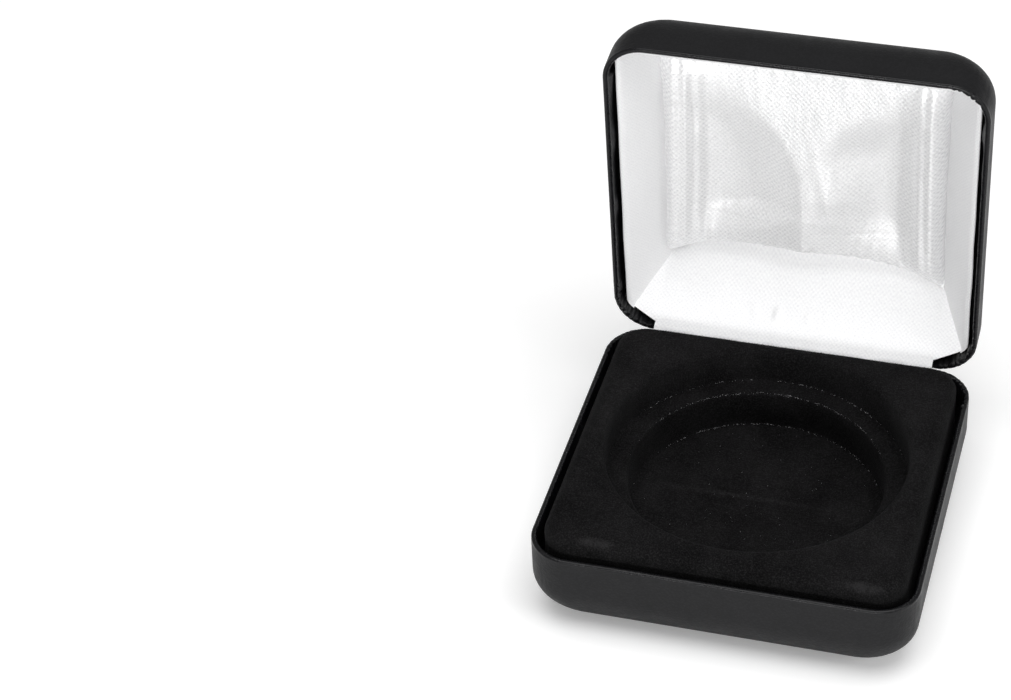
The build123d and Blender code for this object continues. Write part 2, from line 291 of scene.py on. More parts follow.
def leatherette():
    """Black leatherette: fine pebbled grain, dry high spots, and a shine where it is
    pulled tight round the rim and in the pleats."""
    f = Finish("leatherette", Roughness=0.5, Specular_IOR_Level=0.24)
    place = f.place()
    cells = f.node("ShaderNodeTexVoronoi", {"Vector": place, "Scale": 1 / (0.60 * MM)})
    pebbles = f.spread(cells.outputs["Distance"], 0.0, 0.75, 1.0, 0.0)
    pores = f.speckle(place, 0.30, 4.0, 0.6)
    waves = f.speckle(place, 7.0, 2.0)
    grain = f.bump(pebbles, 0.045, 0.6)
    grain = f.bump(pores, 0.045, 0.5, grain)
    grain = f.bump(waves, 0.25, 0.25, grain)
    f.link(grain, "Normal")
    shade = f.blend((f.speckle(place, 11.0, 4.0), 0.5), (pebbles, 0.5))
    f.link(f.tint(shade, (0.0022, 0.0022, 0.0028), (0.0085, 0.0085, 0.0097)), "Base Color")
    rough = f.spread(f.speckle(place, 3.5, 5.0, 0.65), 0.3, 0.7, 0.44, 0.58)
    f.link(f.blend((rough, 1), (f.attribute("taut"), -0.22)), "Roughness")
    return f.material


# Lighter marks in the flock's colour, as (middle, reach, strength), in millimetres: two
# places on the tray's front land where the nap is rubbed, and a long faint lighter band across the seat's floor
LIGHTER_FLOCK_MARKS = (
    ((-25.5, -35.6, 22.8), (5.0, 1.3, 2.0), 1.0),
    ((30.0, -36.0, 22.8), (5.5, 1.4, 2.0), 1.1),
    ((-4.0, 3.4, 6.1), (25.0, 1.1, 3.0), 0.5),
)


def velvet():
    """Black flock: almost no gloss, a soft sheen, and nap that lies in faint patches."""
    f = Finish(
        "velvet_flock", Roughness=1.0, Specular_IOR_Level=0.05,
        Sheen_Weight=0.03, Sheen_Roughness=0.5, Sheen_Tint=(0.5, 0.5, 0.52, 1),
    )
    place = f.place()
    fibres = f.speckle(place, 0.30, 3.0, 0.75)
    tufts = f.speckle(place, 0.9, 3.0, 0.6)
    nap = f.bump(fibres, 0.16, 0.9)
    nap = f.bump(tufts, 0.25, 0.4, nap)
    f.link(nap, "Normal")
    patches = f.speckle(place, 9.0, 4.0, 0.55)
    specks = f.spread(fibres, 0.46, 0.66)
    shade = f.blend((f.spread(patches, 0.35, 0.75, 0.0, 0.30), 1), (specks, 0.70))
    ragged = f.spread(f.speckle(place, 1.3, 4.0, 0.7), 0.3, 0.7, 0.2, 1.1)
    for middle, reach, strength in LIGHTER_FLOCK_MARKS:
        scale = [1 / (r * MM) for r in reach]
        local = f.stretched(place, scale, [-m / r for m, r in zip(middle, reach)])
        away = f.node("ShaderNodeVectorMath", {0: local}, operation="LENGTH").outputs["Value"]
        mark = f.spread(away, 0.1, 1.0, strength, 0.0)
        shade = f.math("ADD", shade, f.math("MULTIPLY", mark, ragged))
    f.link(f.tint(shade, (0.0020, 0.0020, 0.0021), (0.0190, 0.0186, 0.0192)), "Base Color")
    return f.material


def lint_and_painted_glints():
    """Pale grey fibres on the flock: the ones along the seat's edges are painted glints, and the ones on its floor
    are loose fibres.
    """
    f = Finish("flock_lint_and_painted_glints", Roughness=0.6, Specular_IOR_Level=0.5)
    mottle = f.speckle(f.place(), 1.0, 2.0)
    f.link(f.tint(mottle, (0.05, 0.05, 0.05), (0.75, 0.75, 0.77)), "Base Color")
    return f.material


def satin(name, weave_mm, relief, gloss, pearl, dark, light):
    """White satin: rows of bright floats on a duller ground, specks of painted glints in its colour,
    and a pearly gloss that follows the threads."""
    f = Finish(
        name, Roughness=gloss, Specular_IOR_Level=0.6, Metallic=pearl,
        Anisotropic=0.75, Anisotropic_Rotation=0.25,
        Sheen_Weight=0.25, Sheen_Roughness=0.35, Sheen_Tint=(1, 1, 1, 1),
    )
    cloth = f.cloth()
    tangent = f.node("ShaderNodeTangent", direction_type="UV_MAP", uv_map="cloth")
    f.link(tangent.outputs["Tangent"], "Tangent")
    split = f.node("ShaderNodeSeparateXYZ", {"Vector": cloth})
    turn = tau / (2 * weave_mm * MM)
    across = f.math("SINE", f.math("MULTIPLY", split.outputs["X"], turn))
    along = f.math("SINE", f.math("MULTIPLY", split.outputs["Y"], turn * 0.94))
    floats = f.math("MULTIPLY_ADD", f.math("MULTIPLY", across, along), 0.5, 0.5)
    yarn = f.speckle(f.stretched(cloth, (1.0, 7.0, 1.0)), 3.2, 3.0, 0.6)
    # Painted glints: this noise lightens specks of the colour and also makes them glossier.
    glints = f.spread(f.speckle(cloth, 0.45, 2.0, 0.6), 0.32, 0.58)
    weave = f.blend((floats, 0.50), (glints, 0.45), (f.spread(yarn, 0.3, 0.6), 0.14))
    slubs = f.speckle(cloth, 4.0, 3.0, 0.5)
    normal = f.bump(weave, relief, 0.8)
    normal = f.bump(slubs, 0.10, 0.18, normal)
    f.link(normal, "Normal")
    f.link(f.tint(weave, (dark, dark, dark * 1.02), (light, light, light)), "Base Color")
    f.link(f.spread(glints, 0.0, 1.0, gloss + 0.10, gloss - 0.06), "Roughness")
    return f.material


def steel(name, colour, rough, metallic=1.0):
    """Sheet steel with faint rolling lines."""
    f = Finish(name, Metallic=metallic, Roughness=rough)
    lines = f.speckle(f.stretched(f.place(), (1.0, 22.0, 22.0)), 6.0, 5.0, 0.6)
    f.link(f.bump(lines, 0.01, 0.3), "Normal")
    dark = tuple(0.75 * c for c in colour)
    f.link(f.tint(lines, dark, colour), "Base Color")
    f.link(f.spread(lines, 0.3, 0.7, rough - 0.06, rough + 0.1), "Roughness")
    return f.material


def plain(name, dark, light, grain_mm, relief, rough):
    """Card, wadding or moulded plastic: a mottled colour and a fine tooth."""
    f = Finish(name, Roughness=rough)
    grain = f.speckle(f.place(), grain_mm, 4.0, 0.6)
    f.link(f.bump(grain, relief, 0.6), "Normal")
    f.link(f.tint(grain, dark, light), "Base Color")
    return f.material


LEATHERETTE = leatherette()
VELVET = velvet()
LINT_AND_PAINTED_GLINTS = lint_and_painted_glints()
PAD_SATIN = satin(
    "pad_satin_weave", weave_mm=0.58, relief=0.065, gloss=0.44, pearl=0.36, dark=0.66, light=1.0,
)
WALL_SATIN = satin(
    "wall_satin_weave", weave_mm=0.40, relief=0.010, gloss=0.50, pearl=0.05, dark=0.75, light=0.87,
)
HINGE_SATIN = satin(
    "hinge_satin_weave", weave_mm=0.50, relief=0.022, gloss=0.48, pearl=0.1, dark=0.80, light=0.97,
)
PRESSED_STEEL = steel("black_pressed_steel", (0.02, 0.02, 0.021), rough=0.5, metallic=0.0)
HINGE_STEEL = steel("plated_steel", (0.62, 0.61, 0.59), rough=0.32)
TRAY_PLASTIC = plain(
    "tray_styrene", (0.012, 0.012, 0.012), (0.022, 0.022, 0.022),
    grain_mm=0.6, relief=0.02, rough=0.55,
)
CARD = plain(
    "lining_card", (0.50, 0.48, 0.43), (0.62, 0.60, 0.54), grain_mm=0.5, relief=0.03, rough=0.9,
)
PACKING_CARD = plain(
    "packing_card", (0.33, 0.26, 0.18), (0.45, 0.37, 0.27), grain_mm=0.7, relief=0.05, rough=0.95,
)


# ------------------------------------------------------------------- covers
# Folds at the corners: their pitch, how deep they press into the hem, how far they stand
# out of the wall, and how far they lift the rim
FOLD_PITCH = 1.7
FOLD_IN = 0.85
FOLD_OUT = 0.05
FOLD_LIFT = 0.14


def gather(way, seed):
    """Uneven folds along the rim: 0 in a crease and 1 on a fold, `way` in mm."""
    bent = way + 1.3 * wobble(way, seed, scale=2.6) + 0.5 * wobble(way, seed + 9, scale=1.1)
    height = 0.75 + 0.7 * wobble(way, seed + 4, scale=2.9)
    return min(max(abs(sin(pi * bent / FOLD_PITCH)) ** 0.8 * height, 0.0), 1.1)


def corner_way(x, y, back=True):
    """Millimetres round the nearest hinge corner (or front corner) from its middle."""
    cy = HALF_Y - CORNER if back else CORNER - HALF_Y
    dx, dy = abs(x) - (HALF_X - CORNER), (y - cy) * (1 if back else -1)
    if dx > 0 and dy > 0:
        return CORNER * (atan2(dy, dx) - pi / 4)
    if dx > 0:
        return -CORNER * pi / 4 + dy
    if dy > 0:
        return CORNER * pi / 4 - dx
    return 99.0


def cover(name, place, height, edge, seed, front_pleats=False):
    """One half's leatherette: hem, rounded rim, wall, rounded edge and flat face. The
    rim dips at the hinge, and the hinge corners are gathered."""
    wall = height - edge
    # Each ring: inset, depth, and how tight the leather is pulled
    profile = [(INNER_SKIN, HEM_DEPTH + 0.25, 0), (RIM_THICKNESS - 0.1, HEM_DEPTH + 0.2, 0)]
    profile += [(RIM_THICKNESS, HEM_DEPTH - 0.4 * i, 0.5) for i in range(12)]
    for i in range(13):
        turn = pi * i / 12
        middle = RIM_THICKNESS / 2
        profile.append((middle + middle * cos(turn), RIM_ROUND - RIM_ROUND * sin(turn), 1))
    profile += [(0, RIM_ROUND + 0.3 * i, max(0, 1 - 0.5 * i)) for i in range(1, 14)]
    steps = max(2, round((wall - 4.5) / 0.6))
    profile += [(0, 4.4 + (wall - 4.4) * i / steps, 0) for i in range(steps)]
    for i in range(19):
        turn = radians(90 * i / 18)
        profile.append((edge * (1 - cos(turn)), wall + edge * sin(turn), 0))
    rows, taut = [], []
    for inset, depth, tight in profile:
        row, pulled = [], []
        corner = CORNER - min(inset, RIM_THICKNESS) * (depth < wall)
        for x, y in outline(inset, corner):
            way = back_way = corner_way(x, y)
            front_way = corner_way(x, y, False)
            gathered = smooth(12.5 - abs(way), 0, 4.0)
            if x > 0 and front_pleats:
                gathered = max(gathered, 0.55 * smooth(6.5 - abs(front_way - 1.5), 0, 2.5))
                way = front_way if abs(front_way) < 9 else way
            gathered *= smooth(depth, 6.5, 0.8)
            fold = gather(way, seed + (31 if x < 0 else 0)) - 0.6
            ribs = smooth(8.5 - abs(front_way), 0, 3) + smooth(8.5 - abs(back_way), 0, 3)
            rib_way = corner_way(x, y, y > 0)
            rib = ribs * wobble(rib_way, seed, depth * 0.05, 0.55) * 0.03
            inner = inset > RIM_THICKNESS / 2 and depth < wall
            out_x, out_y = plan_normal(x, y, corner, inset)
            if inner:
                push = -FOLD_IN * fold * gathered * smooth(HEM_DEPTH + 0.3 - depth, 0, 1.0)
                loose = smooth(depth, 0.4, 2.4) * smooth(HEM_DEPTH + 0.2 - depth, 0, 1.2)
                push -= loose * hem_ripple(x, y, seed)
            else:
                push = FOLD_OUT * fold * gathered + rib * smooth(depth, 0.6, 2)
            lift = -FOLD_LIFT * fold * gathered * (depth < 0.5)
            sway = 0.06 * wobble(x, y, seed, 14.0) * (depth < 2)
            dip = notch_at(x, y) * (1 - smooth(depth, 0.6, 4.5))
            row.append(place(x + out_x * push, y + out_y * push, depth + lift + sway + dip))
            pulled.append(max(tight, 0.8 * gathered * max(fold, 0)))
        rows.append(row)
        taut.append(pulled)
    for share in (0.93, 0.85, 0.7, 0.5, 0.3, 0.12, 0.02):
        row = []
        for x, y in outline(edge, CORNER):
            row.append(place(x * share, y * share, height))
        rows.append(row)
        taut.append([0.0] * len(row))
    return skin(name, rows, closed=True, cap=True, taut=taut)


def plan_normal(x, y, corner, inset):
    """The outward way in plan at a point of the outline."""
    cx, cy = HALF_X - inset - corner, HALF_Y - inset - corner
    dx, dy = max(abs(x) - cx, 0.0), max(abs(y) - cy, 0.0)
    size = hypot(dx, dy) or 1.0
    return (dx / size * (1 if x > 0 else -1), dy / size * (1 if y > 0 else -1))


def hem_ripple(x, y, seed):
    """The turned-in hem stands off the steel in slow ripples along the sides."""
    if abs(x) < HALF_X - 3 or abs(y) > HALF_Y - CORNER:
        return 0.0
    return 0.8 * max(0.0, wobble(y, seed * 3.1 + (x > 0) * 17, 0, 7.5) + 0.2)


def notch_at(x, y):
    """How far the rim dips beside the hinge's barrel."""
    if y < HALF_Y - 3:
        return 0.0
    return NOTCH_DEPTH * smooth(NOTCH_HALF + 0.9 - abs(x), 0, 0.9)


def covers():
    """Both halves' leatherette."""
    dress(cover("base_leatherette", on_base, RIM_Z, BASE_EDGE, 3.0),
          "base", "leatherette", LEATHERETTE, "base_cover")
    dress(cover("lid_leatherette", on_lid, LID_HEIGHT, LID_EDGE, 11.0, front_pleats=True),
          "lid", "leatherette", LEATHERETTE, "lid_cover")


# --------------------------------------------------------------------- tray
def rounded_at(inset, corner, turn):
    """Where a ray from the seat's centre meets the tray's rounded outline."""
    a, b = HALF_X - inset, HALF_Y - inset
    dx, dy = cos(turn), sin(turn)
    reach = min(
        (a if dx > 0 else -a) / dx if abs(dx) > 1e-9 else 1e9,
        ((b if dy > 0 else -b) - SEAT_Y) / dy if abs(dy) > 1e-9 else 1e9,
    )
    x, y = dx * reach, SEAT_Y + dy * reach
    cx, cy = a - corner, b - corner
    if abs(x) > cx and abs(y) > cy:
        sx, sy = (1 if x > 0 else -1) * cx, (1 if y > 0 else -1) * cy
        ox, oy = -sx, SEAT_Y - sy
        half = ox * dx + oy * dy
        reach = -half + sqrt(max(half * half - (ox * ox + oy * oy - corner * corner), 0))
        x, y = dx * reach, SEAT_Y + dy * reach
    return x, y


def arc(cx, cz, radius, start, end, steps=5):
    """Points of a fillet in the seat's section, as (radius, depth)."""
    return [
        (cx + radius * cos(radians(start + (end - start) * i / steps)),
         cz + radius * sin(radians(start + (end - start) * i / steps)))
        for i in range(steps + 1)
    ]


def tray():
    """The flocked tray: seat floor, ledge, walls, top, rounded edge and skirt."""
    top = -TRAY_RISE
    ledge, bottom = top + LEDGE_DEPTH, top + FLOOR_DEPTH
    fillet = SEAT_FILLET
    lower = FLOOR_DEPTH - LEDGE_DEPTH - 2 * fillet
    upper = LEDGE_DEPTH - fillet - MOUTH
    shares = (0.004, 0.15, 0.3, 0.45, 0.6, 0.72, 0.82, 0.9, 0.95)
    section = [(SMALL_SEAT * t, bottom) for t in shares]
    section += arc(SMALL_SEAT - fillet, bottom - fillet, fillet, 90, 0)
    section += [(SMALL_SEAT, bottom - fillet - lower * t) for t in (0.2, 0.4, 0.6, 0.8)]
    section += arc(SMALL_SEAT + fillet, ledge + fillet, fillet, 180, 270)
    section += [(SMALL_SEAT + 1.8, ledge), (LARGE_SEAT - 1.6, ledge)]
    section += arc(LARGE_SEAT - fillet, ledge - fillet, fillet, 90, 0)
    section += [(LARGE_SEAT, ledge - fillet - upper * t) for t in (0.2, 0.4, 0.6, 0.8)]
    section += arc(LARGE_SEAT + MOUTH, top + MOUTH, MOUTH, 180, 270, 8)
    count = 720
    turns = [tau * i / count for i in range(count)]
    rows = []
    for radius, depth in section:
        rows.append([flocked(radius * cos(t), SEAT_Y + radius * sin(t), depth) for t in turns])
    inner = LARGE_SEAT + MOUTH
    corner = CORNER - TRAY_INSET
    for share in (0.12, 0.3, 0.5, 0.7, 0.88):
        row = []
        for t in turns:
            x, y = rounded_at(TRAY_INSET + TRAY_EDGE, corner - TRAY_EDGE * 0.5, t)
            near = (inner * cos(t), SEAT_Y + inner * sin(t))
            row.append(flocked(*(n + (p - n) * share for n, p in zip(near, (x, y))), top))
        rows.append(row)
    for i in range(9):
        turn = radians(90 * i / 8)
        inset = TRAY_INSET + TRAY_EDGE * (1 - sin(turn))
        depth = top + TRAY_EDGE * (1 - cos(turn))
        row = []
        for t in turns:
            x, y = rounded_at(inset, corner - (inset - TRAY_INSET) * 0.5, t)
            row.append(flocked(x, y, depth))
        rows.append(row)
    for depth in (top + 4, top + 6, top + 9, top + 13):
        rows.append([flocked(*rounded_at(TRAY_INSET, corner, t), depth) for t in turns])
    piece = skin("tray_velvet", rows, closed=True)
    dress(piece, "base", "velvet_flock", VELVET, "tray_flock")


def flocked(x, y, depth):
    """A point of the flock, which is a little uneven all over."""
    wave = 0.07 * wobble(x, y, depth, 9.0) + 0.025 * wobble(x, y, depth, 1.6)
    return on_base(x, y, depth + wave)


# Loose fibres: pale ones along the seat's edges, which are painted glints, as (radius, depth
# from the tray's top, number, width), pale ones on its floor, and black ones on the tray's outer edge
SEAT_GLINT_FIBRES = (
    (LARGE_SEAT - 0.25, LEDGE_DEPTH - 0.15, 210, 0.028),
    (SMALL_SEAT + 0.25, LEDGE_DEPTH + 0.05, 330, 0.022),
    (SMALL_SEAT - 0.2, FLOOR_DEPTH - 0.15, 520, 0.032),
)
FLOOR_FIBRES = 130
EDGE_FIBRES = 7000


def fibres():
    """Short loose fibres: pale ones along the seat's edges, which are painted glints, and on its
    floor, and black ones on the tray's outer edge.
    """
    top = -TRAY_RISE
    rng = np.random.default_rng(7)
    points, faces = [], []

    def strand(root, way, length, width):
        side = Vector(rng.normal(size=3)).cross(way).normalized() * width
        bend = Vector(rng.normal(size=3)) * length * 0.25
        start = len(points)
        tip = root + way * length + bend
        middle = root + way * length * 0.5
        shape = (root - side, root + side, middle + side, middle - side, tip)
        points.extend(tuple(p * MM) for p in shape)
        faces.append((start, start + 1, start + 2, start + 3))
        faces.append((start + 3, start + 2, start + 4))

    def at(x, y, depth):
        return Vector((x, y, RIM_Z - depth))

    # Pale strands along the seat's edges: painted glints.
    for radius, below, number, width in SEAT_GLINT_FIBRES:
        depth = top + below
        for _ in range(number):
            turn = rng.uniform(0, pi)
            if rng.uniform() > smooth(sin(turn), 0.25, 0.95) + 0.04:
                continue
            r = radius + rng.normal() * 0.10
            root = at(r * cos(turn), SEAT_Y + r * sin(turn), depth + rng.normal() * 0.09)
            way = Vector((-sin(turn), cos(turn), rng.normal() * 0.4)).normalized()
            strand(root, way * (1 if rng.uniform() < 0.5 else -1), rng.uniform(0.1, 0.42), width)
    for _ in range(FLOOR_FIBRES):
        turn, r = rng.uniform(0, tau), (SMALL_SEAT - 1) * sqrt(rng.uniform(0, 1))
        root = at(r * cos(turn), SEAT_Y + r * sin(turn), top + FLOOR_DEPTH - 0.05)
        strand(root, Vector(rng.normal(size=3)).normalized(), rng.uniform(0.1, 0.3), 0.022)
    lint_and_glint_faces = len(faces)
    corner = CORNER - TRAY_INSET
    for _ in range(EDGE_FIBRES):
        turn = rng.uniform(0, tau)
        lean = radians(rng.uniform(-8, 80))
        inset = TRAY_INSET + TRAY_EDGE * (1 - sin(lean))
        x, y = rounded_at(max(inset, TRAY_INSET), corner - max(inset - TRAY_INSET, 0) * 0.5, turn)
        depth = top + TRAY_EDGE * (1 - cos(lean))
        out = Vector((x, y - SEAT_Y, 0)).normalized() * sin(lean) + Vector((0, 0, cos(lean)))
        way = (out + Vector(rng.normal(size=3)) * 0.5).normalized()
        strand(at(x, y, depth), way, rng.uniform(0.10, 0.24), 0.026)
    mesh = bpy.data.meshes.new("flock_fibres")
    mesh.from_pydata(points, [], faces)
    # The first faces are pale, for the painted glints and the floor's fibres; the rest are black flock.
    dress(placed("flock_fibres", mesh), "base", "velvet_flock", LINT_AND_PAINTED_GLINTS)
    mesh.materials.append(VELVET)
    for face in mesh.polygons[lint_and_glint_faces:]:
        face.material_index = 1


# ------------------------------------------------------------------- lining
# How far below the rim each wall starts. The hinge wall's corners are cut at a slant
# between two half widths, and its foot tucks in under the pad
SIDE_CARD_START = 2.8
FRONT_CARD_START = 1.8
HINGE_START = 0.6
GUSSET_INNER = 31.3
GUSSET_OUTER = 37.2
GUSSET_DEPTH = 3.4
FOOT_DEPTH = 17.6
FOOT_TUCK = 1.2
# The strip's half width, and its radius round the hinge
STRIP_HALF = 31.2
STRIP_RADIUS = 1.80
# The satin's way round a card's edge: (out of the wall's face, depth past its start)
CARD_EDGE = (
    (1.12, 0.9), (1.17, 0.3), (1.12, -0.05), (0.95, -0.25),
    (0.70, -0.34), (0.40, -0.33), (0.16, -0.20), (0.03, 0.1),
)


def within_corner(x, y, clear=1.45):
    """Draws a point in to the case's rounded corner, `clear` inside the cover."""
    dx, dy = abs(x) - (HALF_X - CORNER), abs(y) - (HALF_Y - CORNER)
    reach = CORNER - clear
    if dx <= 0 or dy <= 0 or hypot(dx, dy) <= reach:
        return x, y
    scale = reach / hypot(dx, dy)
    near_x, near_y = HALF_X - CORNER + dx * scale, HALF_Y - CORNER + dy * scale
    return (near_x if x > 0 else -near_x), (near_y if y > 0 else -near_y)


def wall_profile(start, steps):
    """The satin's way round the card's edge and down the wall: (out of the face, depth,
    share of the wall)."""
    profile = [(out, start + way, 0.0) for out, way in CARD_EDGE]
    for j in range(1, steps + 1):
        t = j / steps
        profile.append((0.0, start + 0.1 + (BOARD_DEPTH - 0.25 - start) * t, t))
    return profile


def side_wall(name, side, start, node):
    """A satin-covered card wall at the lid's left (-1) or right (1)."""
    rows, uv = [], []
    for i in range(81):
        v = -1 + 2 * i / 80
        row, cloth = [], []
        for out, depth, t in wall_profile(start, 30):
            puff = 0.30 * (1 - v ** 4) * sin(pi * t) - out
            puff += 0.10 * wobble(v * 32, t * 18, side, 11) * (t > 0)
            puff += 0.14 * wobble(v * 32, side * 5, t * 9, 9) * (1 - t)
            x = side * (HALF_X - lining_at(depth) - puff)
            y = v * (HALF_Y - lining_at(depth) + (0.4 if v > 0 else -0.02))
            row.append(on_lid(*within_corner(x, y), depth))
            cloth.append((depth * MM * 1.11 - out * MM, y * MM))
        rows.append(row)
        uv.append(cloth)
    piece = skin(name, rows, uv=uv)
    dress(piece, "lid", "white_satin", WALL_SATIN, node)


def front_wall():
    """The satin-covered card wall at the lid's front."""
    rows, uv = [], []
    for i in range(81):
        u = -1 + 2 * i / 80
        row, cloth = [], []
        for out, depth, t in wall_profile(FRONT_CARD_START, 26):
            puff = 0.25 * (1 - u ** 4) * sin(pi * t) - out
            x = u * (HALF_X - lining_at(depth) - 0.02)
            y = -(HALF_Y - lining_at(depth) - puff)
            row.append(on_lid(*within_corner(x, y), depth))
            cloth.append((x * MM, depth * MM * 1.11 - out * MM))
        rows.append(row)
        uv.append(cloth)
    piece = skin("lining_front", rows, uv=uv)
    dress(piece, "lid", "white_satin", WALL_SATIN, "lining_satin_front")


def hinge_face(x, depth):
    """How far the hinge-side satin stands off its flat wall: it bridges from the rim to
    the pad's drawn-in edge, with pulled wrinkles over its middle."""
    taut = HALF_Y - lining_at(FOOT_DEPTH) - pad_hinge_edge(x) + FOOT_TUCK
    pulled = 0.75 * max(0, wobble(x * 1.2, depth * 0.45, 4, 2.6))
    pulled *= exp(-((x + 2) / 10) ** 2) * exp(-((depth - 5.6) / 1.6) ** 2)
    drawn = 0.14 * wobble(x * 0.7 + depth * 0.5, depth * 0.25, 8, 4.5) * smooth(depth, 2, 9)
    return taut * (depth / FOOT_DEPTH) ** 2.6 + pulled + drawn


def hinge_wall():
    """The bright satin wall at the hinge, with slanted corners. Its foot is tucked under
    the pad's edge."""
    rows, uv = [], []
    foot_half = HALF_X - lining_at(FOOT_DEPTH) + 0.2
    for i in range(161):
        share = -1 + 2 * i / 160
        low_x = GUSSET_OUTER * share
        slant = max(0.0, (abs(low_x) - GUSSET_INNER) / (GUSSET_OUTER - GUSSET_INNER))
        start = HINGE_START + (GUSSET_DEPTH - HINGE_START) * slant
        row, cloth = [], []
        for j in range(81):
            depth = start + (FOOT_DEPTH - start) * j / 80
            x = low_x + (foot_half * share - low_x) * (depth - start) / (FOOT_DEPTH - start)
            x, y = within_corner(x, HALF_Y - lining_at(depth) - hinge_face(x, depth))
            row.append(on_lid(x, y, depth))
            cloth.append((x * MM, depth * MM * 1.2))
        rows.append(row)
        uv.append(cloth)
    piece = skin("lining_hinge", rows, uv=uv)
    dress(piece, "lid", "white_satin", HINGE_SATIN, "lining_satin_hinge")


def bend_at_hinge(piece):
    """Bakes a piece's place into its mesh."""
    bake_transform(piece)


def strip():
    """Satin that goes on from the hinge wall, round the barrel, to behind the tray. Its
    upper part lies on the hinge wall and sinks into it."""
    rows, uv = [], []
    for i in range(157):
        x = -STRIP_HALF + 2 * STRIP_HALF * i / 156
        side = 1 - (x / STRIP_HALF) ** 6
        row, cloth = [], []
        for k in range(10):
            row.append(Vector((x, HINGE.y - STRIP_RADIUS - 0.15, HINGE.z - 5.0 + 0.5 * k)))
        for k in range(13):
            angle = pi - OPEN * k / 12
            loose = STRIP_RADIUS + 0.10 + 0.16 * wobble(x, k * 0.5, 2, 3.0) * sin(pi * k / 12)
            row.append(Vector((x, HINGE.y + loose * cos(angle), HINGE.z + loose * sin(angle))))
        for k in range(1, 15):
            depth = HINGE_START + 0.1 + 4.4 * k / 14
            over = (0.10 + 0.26 * exp(-((depth - 0.7) / 1.3) ** 2)) * side
            stand = hinge_face(x, depth) + over * smooth(5.0 - depth, 0, 3.0) - 0.05
            row.append(on_lid(x, HALF_Y - lining_at(depth) - stand, depth) / MM)
        way = 0.0
        for last, p in zip([row[0], *row], row):
            way += (p - last).length
            cloth.append((x * MM, way * MM))
        rows.append([p * MM for p in row])
        uv.append(cloth)
    piece = skin("hinge_strip", rows, uv=uv)
    dress(piece, None, "white_satin", HINGE_SATIN, "hinge_satin_strip")
    bend_at_hinge(piece)


def spring():
    """The snap spring: a copy of its CAD node's mesh, in plated steel."""
    piece = placed("snap_spring_leaf", NODES["snap_spring"].data.copy())
    dress(piece, None, "hinge_steel", HINGE_STEEL, "snap_spring")
    bend_at_hinge(piece)


# ---------------------------------------------------------------------- pad
# Two ridges run from corner to corner by way of the neck, in lid millimetres
RIDGES = (
    (
        (-29.5, -29.5), (-22.7, -26.6), (-13.6, -19.7), (-6.1, -12.6), (-1.0, -3.4), (0.1, 5.5),
        (-0.9, 11.2), (-10.7, 17.2), (-19.7, 20.6), (-26.6, 24.0), (-29.8, 28.0),
    ),
    (
        (29.5, -29.5), (23.5, -26.3), (13.1, -19.3), (5.4, -13.0), (2.5, -7.0), (4.0, 1.3),
        (5.9, 10.9), (10.9, 16.2), (18.1, 20.4), (26.4, 24.6), (29.8, 28.0),
    ),
)
# Depths of the pad's shoulder, of its highest ridge and of its hollows
PAD_SHOULDER = 15.2
PAD_CREST = 9.7
PAD_VALLEY = 14.6
# How far its sides bow in, and the radius of its rolled edge
PAD_DRAWN_IN = 0.6
PAD_HINGE_DRAWN_IN = 8.3
PAD_ROLL = 2.6
PAD_GAP = 0.25
# How far a facet falls away beside a ridge, how rounded the ridge is, and how soft the
# facet's foot
FACET_REACH = 10.5
RIDGE_ROUND = 5.0
FACET_FOOT = 1.8
# The rolled sides, left and right: (reach past the shoulder, height, middle in from the
# side, half width)
PAD_SIDES = ((1.7, 3.0, 4.6, 5.4), (0.0, 2.5, 3.8, 4.2))


def pad_drawn(u):
    """How far the pad's sides bow in at a share of the way along, 0 in the middle."""
    return np.clip(1 - np.abs(u) ** 2.2, 0, 1) ** 0.85


def pad_hinge_edge(x):
    """Where the pad's edge at the hinge is, across the lid."""
    half = HALF_X - lining_at(PAD_SHOULDER)
    return HALF_Y - lining_at(PAD_SHOULDER) - PAD_HINGE_DRAWN_IN * pad_drawn(x / half)


def smooth_curve(points, steps=12):
    """A Catmull-Rom curve through the points."""
    padded = [points[0], *points, points[-1]]
    curve = []
    for a, b, c, d in zip(padded, padded[1:], padded[2:], padded[3:]):
        for i in range(steps):
            t = i / steps
            curve.append([
                q + 0.5 * t * (r - p + t * (2 * p - 5 * q + 4 * r - s + t * (3 * (q - r) - p + s)))
                for p, q, r, s in zip(a, b, c, d)
            ])
    curve.append(list(points[-1]))
    return np.array(curve)


def crest_height(x, y):
    """Height of the ridges and of the facets between them, above the pad's hollows."""
    front = np.clip((11.0 - y) / 40.0, 0, 1)
    hinge = np.clip((y - 5.0) / 9.0, 0, 1) * np.clip(np.abs(x) / 25.0, 0, 1)
    return (PAD_VALLEY - PAD_CREST) * (1 - 0.90 * front ** 1.1 - 0.88 * hinge)


def ridge_line(ridge):
    """A ridge as x and its slope over an even row of y."""
    curve = smooth_curve(ridge)
    ys = np.linspace(-34, 34, 137)
    xs = np.interp(ys, curve[:, 1], curve[:, 0])
    kernel = np.hanning(9) / np.hanning(9).sum()
    xs = np.convolve(np.pad(xs, 4, mode="edge"), kernel, mode="valid")
    return ys, xs, np.gradient(xs, ys)


